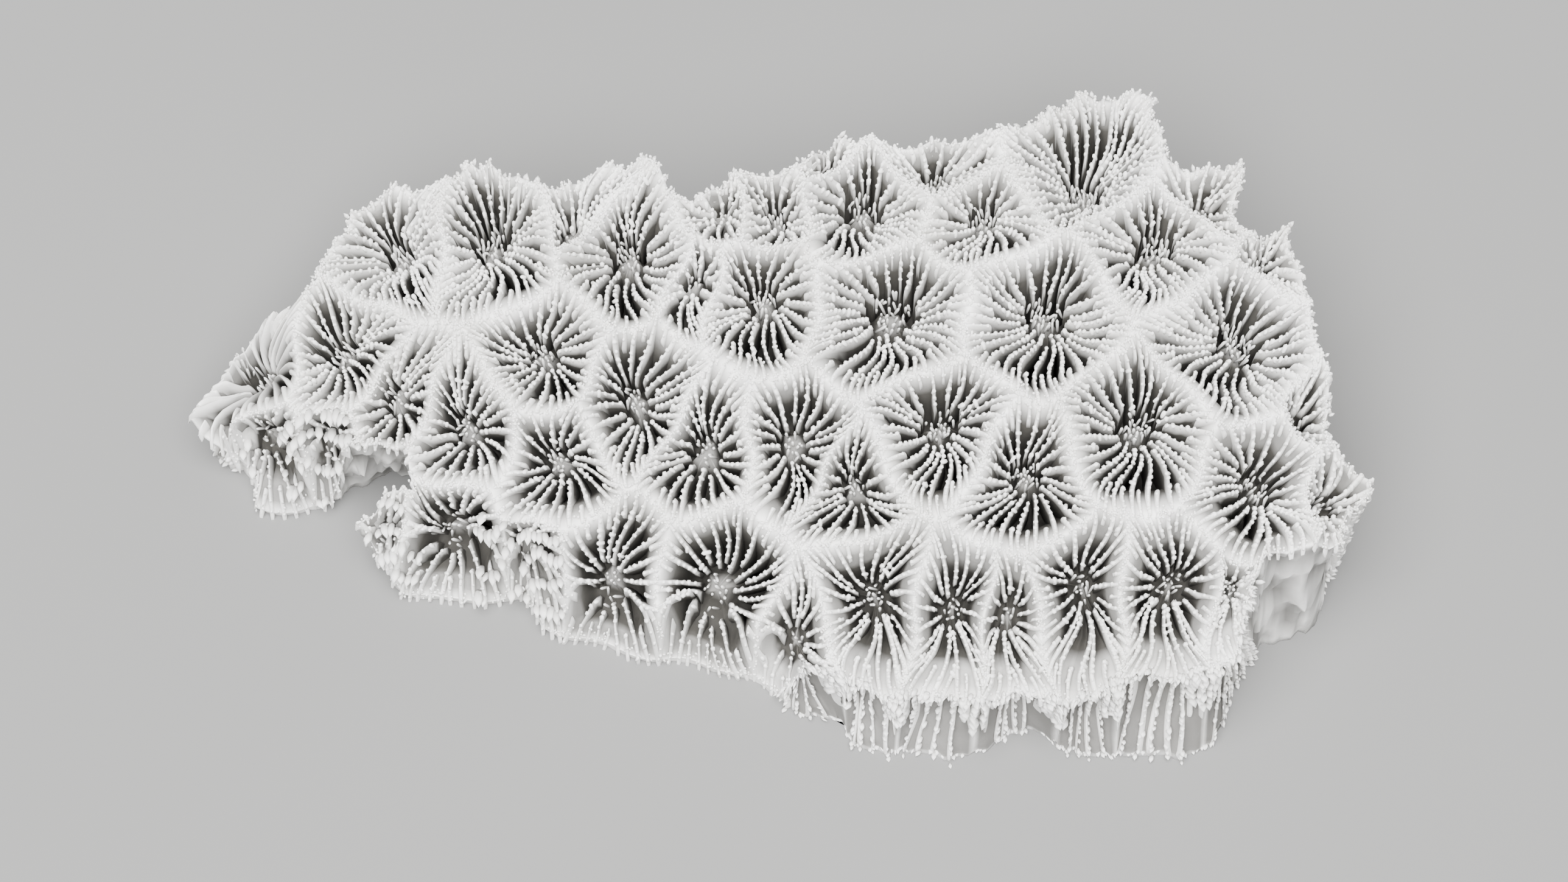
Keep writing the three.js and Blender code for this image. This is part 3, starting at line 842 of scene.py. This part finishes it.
def septum_ways(cup):
    """Three points of a soft curve for each septum, and how far along it the septum reaches."""
    start, normal, on_edge, share = cup["starts"]
    middle = np.array(cup["middle"])
    toward = middle - start
    distance = np.linalg.norm(toward, axis=1)[:, None]
    toward = toward / distance
    opened = np.clip((0.8 - share) / 0.4, 0, 1)[:, None]
    heading = mix(toward + 0.06 * normal, STRAIGHT_OUT * np.sign(toward), 0.85 * opened)
    heading /= np.linalg.norm(heading, axis=1)[:, None]
    reach = np.minimum(columella_reach(cup), 0.5 * distance)
    stick_out = np.where(on_edge, 0.35, 0.12)[:, None]
    first = start - heading * stick_out
    last = middle - toward * reach
    control = start + heading * mix(0.38, 0.62, opened) * distance
    count = len(start)
    ends = rng.uniform(0.9, 0.97, count)
    short = np.arange(count) % 2 == 1
    ends[short] = rng.uniform(0.26, 0.42, short.sum())
    ends[np.arange(count) % 4 == 2] *= 0.88
    return {"first": first, "control": control, "last": last, "ends": ends, "short": short,
            "on_edge": on_edge}


def along_way(ways, s):
    """Places and headings at s (0 to 1) on each curve."""
    s = s[..., None]
    first, control, last = (ways[k][:, None, :] for k in ("first", "control", "last"))
    place = (1 - s) ** 2 * first + 2 * s * (1 - s) * control + s ** 2 * last
    heading = 2 * (1 - s) * (control - first) + 2 * s * (last - control)
    return place, heading / np.linalg.norm(heading, axis=-1, keepdims=True)


for cup in cups:
    cup["ways"] = septum_ways(cup)
print("first cup:", len(cups[0]["ways"]["ends"]), "septa, about half of them long")

# %% Fit the blank to every septum
THICKNESS = 0.35
EXSERT = 0.22  # how far a septum stands up over the wall
LIFT_AT = [0, 0.03, 0.08, 0.3, 1]


def crest_lift(s, on_edge):
    """The septum's top over the wall: it starts low, stands up, and runs down into the cup."""
    start = np.where(on_edge, -0.55, -0.3)[:, None]
    stands_up = EXSERT * np.interp(s, LIFT_AT, [0, 0.6, 1, 0.45, 0])
    return stands_up + np.where(s < 0.03, (1 - s / 0.03) * start, 0)


def fit_septa(cup):
    ways = cup["ways"]
    blank, _ = plate_blank
    count = len(ways["ends"])
    a = blank[:, 0] - 0.6 * np.sin(2 * math.pi * blank[:, 0]) / (2 * math.pi)
    s = a[None, :] * ways["ends"][:, None]
    place, heading = along_way(ways, s)
    side = np.stack([-heading[..., 1], heading[..., 0]], axis=-1)
    spread = np.linalg.norm(place - np.array(cup["middle"]), axis=-1)
    crowd = count * np.interp(s, [0, 0.34, 0.48, 0.8, 0.9, 1], [1, 1, 0.5, 0.5, 0.36, 0.36])
    widest = 0.6 * 2 * math.pi * spread / crowd
    width = np.minimum(THICKNESS * rng.uniform(0.88, 1.12, count)[:, None], widest)
    width = np.maximum(width, 0.17) * np.where(ways["short"], 0.85, 1)[:, None]
    width = width * np.interp(blank[:, 0], [0, 0.1, 0.5, 0.9, 1], [0.7, 0.95, 1, 1.12, 0.95])[None, :]
    waver = 0.05 * np.sin(s * 9 + rng.uniform(0, 6.3, count)[:, None])
    place = place + side * (blank[None, :, 1] * width + waver)[..., None]
    lift = crest_lift(s, ways["on_edge"]) + rng.normal(0, 0.05, count)[:, None]
    nose = np.interp(blank[:, 0], [0, 0.88, 1], [0, 0, 0.35])[None, :]
    inward, rim = inside_cup(cup, place[..., 0], place[..., 1])
    # painted shade on the septa: greyer low down between the plates and further down in the cup
    open_side = floor_depth(cup, inward, rim["shut"]) - top_depth(cup, inward, rim["shut"])
    low = 1 - blank[None, :, 2]
    pits = np.maximum(painted_shade_share(open_side * low), floor_painted_shade(cup, inward, rim["shut"]) * low)
    pits = pits + deep_painted_shade(inward)
    return place_in_cup(cup, place[..., 0], place[..., 1], above_top=lift - nose, above_floor=-0.3,
                        raised=blank[None, :, 2]), pits


for cup in cups:
    cup["septa"], cup["septa_pits"] = fit_septa(cup)


def septa_piece(name, want_short):
    fitted = np.concatenate([cup["septa"][cup["ways"]["short"] == want_short] for cup in cups])
    pits = np.concatenate([cup["septa_pits"][cup["ways"]["short"] == want_short] for cup in cups])
    faces = copies_of(plate_blank[1], len(plate_blank[0]), len(fitted))
    return make_piece(name, fitted.reshape(-1, 3), faces, pits.ravel(), smooth_angle=60)


long_septa = septa_piece("septa_long", False)
short_septa = septa_piece("septa_short", True)

# %% [markdown]
# ## Teeth and beads
# The free edge of every septum carries a row of small rounded teeth. They are what makes the
# walls look fuzzy. One tooth is modelled from a small ball, drawn out to a blunt tip above and a
# root below, and copied along every edge.

# %% Blank tooth
def blank_tooth(tip, root, thin=1.0):
    bpy.ops.object.select_all(action="DESELECT")
    bpy.ops.mesh.primitive_ico_sphere_add(subdivisions=1, radius=0.5, location=(0, 0, 0))
    piece = bpy.context.object
    select_points(piece, lambda place: place.z > 0.4)
    bpy.ops.transform.translate(value=(0, 0, tip))
    select_points(piece, lambda place: place.z < -0.1)
    bpy.ops.transform.translate(value=(0, 0, -root))
    bpy.ops.transform.resize(value=(0.85, 0.85, 1), center_override=(0, 0, 0))
    bpy.ops.mesh.select_all(action="SELECT")
    bpy.ops.transform.resize(value=(1, thin, 1), center_override=(0, 0, 0))
    bpy.ops.object.mode_set(mode="OBJECT")
    return take_shape(piece)


tooth_blank = blank_tooth(0.12, 0.5)
print("blank tooth:", len(tooth_blank[1]), "faces")

# %% Stand copies up
def set_copies(blank, places, ways_up, widths, heights, seed, ways_aside=None):
    """Copies of a blank stood up at places, each turned its own way round unless a way is given."""
    chance = np.random.default_rng(seed)
    up = ways_up / np.linalg.norm(ways_up, axis=1)[:, None]
    aside = chance.normal(size=up.shape) if ways_aside is None else np.cross(ways_aside, up)
    across = np.cross(up, aside)
    across /= np.linalg.norm(across, axis=1)[:, None]
    third = np.cross(up, across)
    points = blank[0]
    return (places[:, None, :]
            + across[:, None, :] * (points[None, :, 0] * widths[:, None])[..., None]
            + third[:, None, :] * (points[None, :, 1] * widths[:, None])[..., None]
            + up[:, None, :] * (points[None, :, 2] * heights[:, None])[..., None])


def make_copies(name, blank, fitted, pits=0.0):
    faces = copies_of(blank[1], len(blank[0]), len(fitted))
    return make_piece(name, fitted.reshape(-1, 3), faces, pits)


print("a tooth is", round(float(np.ptp(tooth_blank[0][:, 2])), 2), "times its set height")

# %% Teeth along the septa
TOOTH_STEP = 0.52
TOOTH_WIDTH = 0.4
CREST = 0.2  # how far in from a wall its crest reaches, as a share of the way to the middle


def joined(rows):
    """The columns of many rows, each made one long array."""
    return [np.concatenate(column) for column in zip(*rows)]


def teeth_of(cup):
    """Place, lean and size of every tooth on a cup's septa."""
    ways = cup["ways"]
    rows = []
    for number, end in enumerate(ways["ends"]):
        one = {k: ways[k][number:number + 1] for k in ("first", "control", "last")}
        place, _ = along_way(one, np.array([[0.0, 0.5 * end, end]]))
        place = place[0]
        flat = np.linalg.norm(place[1] - place[0]) + np.linalg.norm(place[2] - place[1])
        length = math.hypot(flat, 0.5 * cup["depth"] * end)
        count = max(2, int(length / TOOTH_STEP))
        s = (np.arange(count) + rng.uniform(0.15, 0.6) + rng.uniform(-0.2, 0.2, count)) / count * end
        s = np.clip(s, 0.01 if ways["on_edge"][number] else 0.035, 0.985 * end)
        rows.append((s, along_way(one, s[None, :])[0][0]))
    s, place = joined(rows)
    lift = EXSERT * np.interp(s, LIFT_AT, [-0.6, 0.6, 1, 0.45, 0])
    base = place_in_cup(cup, place[:, 0], place[:, 1], above_top=lift + 0.05)
    higher = place_in_cup(cup, place[:, 0], place[:, 1], above_top=lift + 1.05)
    inward, _ = inside_cup(cup, place[:, 0], place[:, 1])
    return base, higher - base, inward


WORN_CUPS = (36,)  # the left tip is worn smooth and has lost its teeth
toothed_cups = [cup for number, cup in enumerate(cups) if number not in WORN_CUPS]
base, up, inward = joined(teeth_of(cup) for cup in toothed_cups)
up = up + np.random.default_rng(3).normal(0, 0.22, up.shape)
size = np.random.default_rng(4).uniform(0.8, 1.2, len(base))
at_crest = inward < CREST


def rows_of_teeth(name, kept, width, height, seed):
    fitted = set_copies(tooth_blank, base[kept], up[kept], width * size[kept], height * size[kept], seed)
    return make_copies(name, tooth_blank, fitted)


crest_teeth = rows_of_teeth("crest_teeth", at_crest, 0.7 * TOOTH_WIDTH, 0.36, 5)
beads = rows_of_teeth("septum_beads", ~at_crest, TOOTH_WIDTH, 0.56, 6)

# %% [markdown]
# ## Granules
# On the crest itself the teeth of both sides run together into a felt of grains. A texture could
# stand for them, but they show on the outline, so they are real: the tooth again, much smaller,
# strewn at random close to the crest.

# %% Granules on the walls
def crest_granules(cup, chance):
    """Grains strewn over the crest of a cup's walls, where the teeth of both sides run together."""
    fine = np.array(cup["fine"])
    many = round(1.5 * len(fine))
    number = chance.integers(0, len(fine), many)
    inward = np.abs(chance.normal(0, 0.045, many))
    x = mix(walls["x"][fine][number], cup["middle"][0], inward) + chance.normal(0, 0.12, many)
    y = mix(walls["y"][fine][number], cup["middle"][1], inward) + chance.normal(0, 0.12, many)
    base = place_in_cup(cup, x, y, above_top=chance.uniform(0.02, 0.3, many))
    up = place_in_cup(cup, x, y, above_top=1.3) - base + chance.normal(0, 0.4, (many, 3))
    return base, up, chance.uniform(0.16, 0.25, many), chance.uniform(0.16, 0.28, many)


chance = np.random.default_rng(51)
base, up, width, height = joined(crest_granules(cup, chance) for cup in toothed_cups)
granules = make_copies("crest_granules", tooth_blank, set_copies(tooth_blank, base, up, width, height, 52))

# %% [markdown]
# ## Columella
# In the middle of each cup the septa end in a spongy cluster of little rods, the columella.
# The rods are copies of one rounded blank, set in a spiral like the seeds of a sunflower, which
# fills a disc evenly, and then tilted and shifted a little so that no two clusters are alike.

# %% Rods of the columella
ROD_WIDTH = 0.27
rod_blank = blank_tooth(0.05, 0.9)


def rods_of(cup, chance):
    reach = columella_reach(cup)
    count = max(6, round(5.2 * math.pi * reach ** 2))
    k = np.arange(count) + 0.5
    r = reach * np.sqrt(k / count) * chance.uniform(0.85, 1.1, count)
    turn = k * math.radians(137.5) + chance.uniform(-0.3, 0.3, count)
    x = cup["middle"][0] + r * np.cos(turn)
    y = cup["middle"][1] + r * np.sin(turn)
    base = place_in_cup(cup, x, y, above_top=chance.normal(-0.12, 0.14, count))
    higher = place_in_cup(cup, x, y, above_top=1.0)
    up = higher - base + chance.normal(0, 0.16, (count, 3))
    return base, up, ROD_WIDTH * chance.uniform(0.8, 1.2, count), chance.uniform(0.85, 1.15, count)


chance = np.random.default_rng(21)
base, up, width, height = joined(rods_of(cup, chance) for cup in cups)
# painted shade: the rods are dark at their roots and only a little grey at their tips
rod_painted_shade = np.where(rod_blank[0][:, 2] > 0, 0.24, 0.85)
columella = make_copies("columella_rods", rod_blank, set_copies(rod_blank, base, up, width, height, 22),
                        np.tile(rod_painted_shade, len(base)))
print(len(base), "rods")

# %% [markdown]
# ## Ribs of the broken side
# Inside a half tube the cut edges of the septa run down the wall as thin ribs with ragged,
# toothed edges. They are copies of the blank plate again, this time stood on the side.

# %% Ribs
RIB_SPACING = 0.88
RIB_WIDTH = 0.28
side_height = rim_row[:, 2]


def rib_starts():
    lap = outline_length[-1]
    count = round(lap / RIB_SPACING)
    chance = np.random.default_rng(31)
    at = (np.arange(count) + chance.uniform(-0.25, 0.25, count)) * lap / count
    number = np.interp(at % lap, outline_length, np.arange(len(outer_fine) + 1))
    tall = side_height[np.floor(number).astype(int) % len(outer_fine)] > 2.2
    return number[tall]


def fit_ribs(starts, top, bottom, stand_out, width, chance):
    blank, _ = plate_blank
    count = len(starts)
    down = top[:, None] + (bottom - top)[:, None] * blank[None, :, 0]
    drift = chance.normal(0, 0.7, count)[:, None] * (down - 0.5)
    drift = drift + 0.5 * np.sin(5 * down + chance.uniform(0, 6, count)[:, None])
    profile = np.interp(blank[:, 0], [0, 0.12, 0.5, 0.9, 1], [0.2, 1, 0.85, 1, 0.3])[None, :]
    out = mix(-0.3, stand_out[:, None] * profile, blank[None, :, 2])
    across = width[:, None] * blank[None, :, 1] / 0.345
    return side_place(starts[:, None] + drift - across, down, out)


wall_end = (np.minimum(before, after) < 1.2) & (side_height > 2.2) & (under < 0)


def all_starts():
    """Ribs all round at an even spacing, and a dense bundle of them at each wall's end in front."""
    even = rib_starts()
    bundles = np.flatnonzero(wall_end)[::2].astype(float)
    starts = np.concatenate([even, bundles + 0.5])
    return starts[~worn[np.floor(starts).astype(int) % len(worn)]]


starts = all_starts()
chance = np.random.default_rng(32)
count = len(starts)
there = np.floor(starts).astype(int) % len(outer_fine)
in_bundle = wall_end[there]
in_front = under[there] < 0
stand_out = np.where(in_front, chance.uniform(0.45, 0.85, count), chance.uniform(0.25, 0.55, count))
stand_out = np.where(in_bundle, chance.uniform(0.5, 1.3, count), stand_out)
top = chance.uniform(0.0, 0.08, count)
bottom = np.where(in_bundle, chance.uniform(0.3, 0.7, count), chance.uniform(0.97, 1.02, count))
width = RIB_WIDTH * chance.uniform(0.8, 1.2, count)
ribs_fitted = fit_ribs(starts, top, bottom, stand_out, width, chance)
side_ribs = make_piece("side_ribs", ribs_fitted.reshape(-1, 3),
                       copies_of(plate_blank[1], len(plate_blank[0]), count), 0.05, smooth_angle=60)

# %% [markdown]
# ## Scales
# The torn edges of the side are ragged with flat, pointed scales. The blank is the tooth again,
# pressed flat and drawn out to a tip. Scales stand in rows on the ribs, crowd together on the
# walls' ends and along the ledge, and lie in tiers where a cup broke along its septa.

# %% Scales on the ribs, the walls' ends and the ledge
scale_blank = blank_tooth(0.5, 0.45, thin=0.35)


def side_scales(seed):
    chance = np.random.default_rng(seed)
    ledge = np.flatnonzero((under < 0) & ~worn)
    rows = []
    for start, out, front, bundled in zip(starts, stand_out, in_front, in_bundle):
        tall = side_height[int(start) % len(outer_fine)]
        many = max(3, int(tall / (1.6 if bundled else 0.5 if front else 1.1)))
        loose = 0.15 if bundled else 0.5
        down = (np.arange(many) + 0.5 + chance.uniform(-loose, loose, many)) / many
        large = chance.uniform(0.5, 1.0, many) if bundled else chance.uniform(0.3, 0.6, many)
        down = down * (0.45 if bundled else 1)
        rows.append(np.stack([start + chance.normal(0, 0.2 if bundled else 0.12, many), down,
                              out * chance.uniform(0.75, 1.0, many), large], axis=1))
    for number in ledge:
        rows.append(np.stack([number + chance.uniform(-1, 1, 3), chance.uniform(-0.03, 0.1, 3),
                              chance.uniform(-0.1, 0.4, 3), chance.uniform(0.35, 0.75, 3)], axis=1))
    for number in ledge:
        rows.append(np.array([[number + chance.uniform(-1, 1), 0.985, chance.uniform(-0.1, 0.2),
                               chance.uniform(0.3, 0.55)]]))
    at, down, out, size = np.concatenate(rows).T
    base = side_place(at, down, out)
    outward = side_place(at, down, out + 1) - base
    aside = side_place(at + 0.5, down, out) - side_place(at - 0.5, down, out)
    up = outward + np.array([0, 0, 0.35]) + chance.normal(0, 0.15, base.shape)
    aside = aside + chance.normal(0, 0.1, base.shape)
    return set_copies(scale_blank, base, up, size, np.minimum(0.85 * size, 0.7), seed + 1, aside)


fitted_scales = [side_scales(41)]
print(len(fitted_scales[0]), "scales on the side")

# %% Tiers of scales
def scale_tiers(cup, seed, clear=0.0):
    """Tiers of pointed scales, one above the other, where a cup was broken along its septa.
    They leave a strip in the middle clear, where the cup still stands open."""
    chance = np.random.default_rng(seed)
    x, y = np.meshgrid(np.arange(-5, 5, 0.54), np.arange(-7, 4, 1.15))
    x = cup["x"] + x.ravel() + chance.normal(0, 0.06, x.size)
    y = cup["y"] + y.ravel() + chance.normal(0, 0.06, y.size) + 0.35 * np.sin(1.1 * x)
    kept = inside_cup(cup, x, y)[0] > 0.03
    if clear:
        kept &= (np.abs(x - cup["middle"][0]) > clear) & (y < cup["middle"][1] + 0.3)
    x, y = x[kept], y[kept]
    base = place_in_cup(cup, x, y, above_top=0.55) + np.array([0, -0.35, 0])
    up = np.array([0, -0.9, 0.35]) + chance.normal(0, 0.12, base.shape)
    size = chance.uniform(0.65, 0.95, len(x))
    aside = np.array([1.0, 0, 0]) + chance.normal(0, 0.08, base.shape)
    return set_copies(scale_blank, base, up, size, 1.15 * size, seed + 1, aside)


fitted_scales += [scale_tiers(cups[number], 60 + number) for number in TIERED_CUPS]
fitted_scales += [scale_tiers(cups[number], 60 + number, clear)
                  for number, clear in HALF_TIERED_CUPS.items()]
fitted_scales = np.concatenate(fitted_scales)
# painted shade: the scales are half grey at their roots and nearly white at their tips
scale_painted_shade = np.where(scale_blank[0][:, 2] > 0, 0.03, 0.5)
scales = make_copies("side_scales", scale_blank, fitted_scales, np.tile(scale_painted_shade, len(fitted_scales)))

# %% [markdown]
# ## Bleached aragonite
# Bleached coral is pure aragonite: neutral white, dull, and slightly see-through at thin edges.
# Light sinks in a little, which a small subsurface share gives. The surface is a felt of fine
# crystals, so its grain is only a fifth of a millimetre across, which is already as coarse as it
# has to be to show. Paler and duller patches are about 9 mm wide, and the share of painted shade
# on each point mixes a dark grey in.

# %% Colour and scale helpers
def linear(hex_colour):
    """An sRGB colour like e9e8e4 as the linear numbers that Blender works with."""
    channels = [int(hex_colour[i:i + 2], 16) / 255 for i in (0, 2, 4)]
    return [c / 12.92 if c <= 0.04045 else ((c + 0.055) / 1.055) ** 2.4 for c in channels] + [1]


def per_size(millimetres):
    """The texture scale whose features are about this big."""
    return 1 / (millimetres * MM)


print("chalk white is", [round(c, 3) for c in linear("f2f1ee")])

# %% Bleached skeleton
def node(tree, kind, sockets, **settings):
    """Adds a node. A socket's value is a number, a colour, or the output that feeds it."""
    made = tree.nodes.new(kind)
    for name, value in settings.items():
        setattr(made, name, value)
    for key, value in sockets.items():
        if isinstance(value, bpy.types.NodeSocket):
            tree.links.new(value, made.inputs[key])
        else:
            made.inputs[key].default_value = value
    return made


def two_colours(ramp, low, high):
    for element, (position, colour) in zip(ramp.color_ramp.elements, (low, high)):
        element.position = position
        element.color = linear(colour)


def bleached_skeleton():
    material = bpy.data.materials.new("bleached_aragonite")
    material.use_nodes = True
    tree = material.node_tree
    shader = tree.nodes["Principled BSDF"]
    shader.inputs["IOR"].default_value = 1.58
    shader.inputs["Specular IOR Level"].default_value = 0.35
    shader.inputs["Subsurface Weight"].default_value = 0.22
    shader.inputs["Subsurface Radius"].default_value = (1.0, 0.95, 0.9)
    shader.inputs["Subsurface Scale"].default_value = 0.35 * MM
    place = node(tree, "ShaderNodeTexCoord", {}).outputs["Object"]
    patches = node(tree, "ShaderNodeTexNoise", {"Vector": place, "Scale": per_size(9), "Detail": 5.0,
                                                "Roughness": 0.6}).outputs["Fac"]
    grain = node(tree, "ShaderNodeTexNoise", {"Vector": place, "Scale": per_size(0.22), "Detail": 6.0,
                                              "Roughness": 0.65}).outputs["Fac"]
    colour = node(tree, "ShaderNodeValToRGB", {"Fac": patches})
    two_colours(colour, (0.3, "e2e1dd"), (0.62, "f1f0ee"))
    # painted shade: the attribute "pit" mixes dark grey 45433f into the white, most deep between the plates
    pit = node(tree, "ShaderNodeAttribute", {}, attribute_name="pit")
    painted_shade_mix = node(tree, "ShaderNodeMix", {0: pit.outputs["Fac"], 6: colour.outputs["Color"],
                                           7: linear("45433f")}, data_type="RGBA")
    dull = node(tree, "ShaderNodeMapRange", {"Value": grain, "To Min": 0.68, "To Max": 0.9})
    bump = node(tree, "ShaderNodeBump", {"Height": grain, "Strength": 0.35, "Distance": 0.06 * MM})
    tree.links.new(painted_shade_mix.outputs[2], shader.inputs["Base Color"])
    tree.links.new(dull.outputs["Result"], shader.inputs["Roughness"])
    tree.links.new(bump.outputs["Normal"], shader.inputs["Normal"])
    return material


skeleton = bleached_skeleton()
coral_pieces = [body, long_septa, short_septa, crest_teeth, beads, granules, columella, side_ribs, scales]
for piece in coral_pieces:
    piece.data.materials.append(skeleton)
    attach(piece, "root")
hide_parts(COLONY)
print(len(coral_pieces), "pieces in one finish")

# %% [markdown]
# ## Floor, light and camera
# A plain pale floor carries the piece. One large soft lamp from above and a little in front
# lights the crests and leaves the cups' depths dark. A weak lamp from behind and a weak even sky
# fill the rest. The camera stands as far off, and as high, as the piece was seen from.

# %% Floor
def floor_finish():
    material = bpy.data.materials.new("pale_floor")
    material.use_nodes = True
    tree = material.node_tree
    shader = tree.nodes["Principled BSDF"]
    shader.inputs["Roughness"].default_value = 0.85
    place = node(tree, "ShaderNodeTexCoord", {}).outputs["Object"]
    cloudy = node(tree, "ShaderNodeTexNoise", {"Vector": place, "Scale": per_size(60), "Detail": 3.0})
    colour = node(tree, "ShaderNodeValToRGB", {"Fac": cloudy.outputs["Fac"]})
    two_colours(colour, (0, "747473"), (1, "7a7a79"))
    tree.links.new(colour.outputs["Color"], shader.inputs["Base Color"])
    return material


bpy.ops.object.select_all(action="DESELECT")
bpy.ops.mesh.primitive_plane_add(size=3.0, location=(0, 0, 0))
floor = bpy.context.object
floor.name = "floor"
floor.data.materials.append(floor_finish())
print("floor", [round(d, 2) for d in floor.dimensions])

# %% Light
def soft_lamp(name, azimuth, elevation, distance, size, power):
    lamp = bpy.data.lights.new(name, "AREA")
    lamp.shape = "DISK"
    lamp.size = size
    lamp.energy = power
    holder = bpy.data.objects.new(name, lamp)
    bpy.context.collection.objects.link(holder)
    a, e = math.radians(azimuth), math.radians(elevation)
    back = Vector((math.sin(a) * math.cos(e), -math.cos(a) * math.cos(e), math.sin(e)))
    holder.location = back * distance
    holder.rotation_euler = (-back).to_track_quat("-Z", "Y").to_euler()
    return holder


soft_lamp("key_lamp", -15, 72, 0.75, 0.8, 32)
soft_lamp("fill_lamp", 120, 40, 0.9, 0.6, 0.8)
world = bpy.data.worlds.new("soft_sky")
world.use_nodes = True
world.node_tree.nodes["Background"].inputs["Color"].default_value = linear("dcdcdc")
world.node_tree.nodes["Background"].inputs["Strength"].default_value = 0.12
bpy.context.scene.world = world
print("two lamps and a weak sky")

# %% Camera
AIM = Vector((-MIDDLE[0], -MIDDLE[1], AIM_HEIGHT))
IMAGE_WIDTH = 128.8  # width of the view at the aim, mm

camera_data = bpy.data.cameras.new("camera")
camera_data.sensor_width = 36
camera_data.lens = 36 * VIEW_DISTANCE / IMAGE_WIDTH
camera = bpy.data.objects.new("camera", camera_data)
bpy.context.collection.objects.link(camera)
back = Vector((0, -math.cos(TILT), math.sin(TILT)))
camera.location = (AIM + back * VIEW_DISTANCE) * MM
camera.rotation_euler = (-back).to_track_quat("-Z", "Y").to_euler()
camera_data.clip_start = 0.01
bpy.context.scene.camera = camera
print("lens, mm:", round(camera_data.lens, 2))
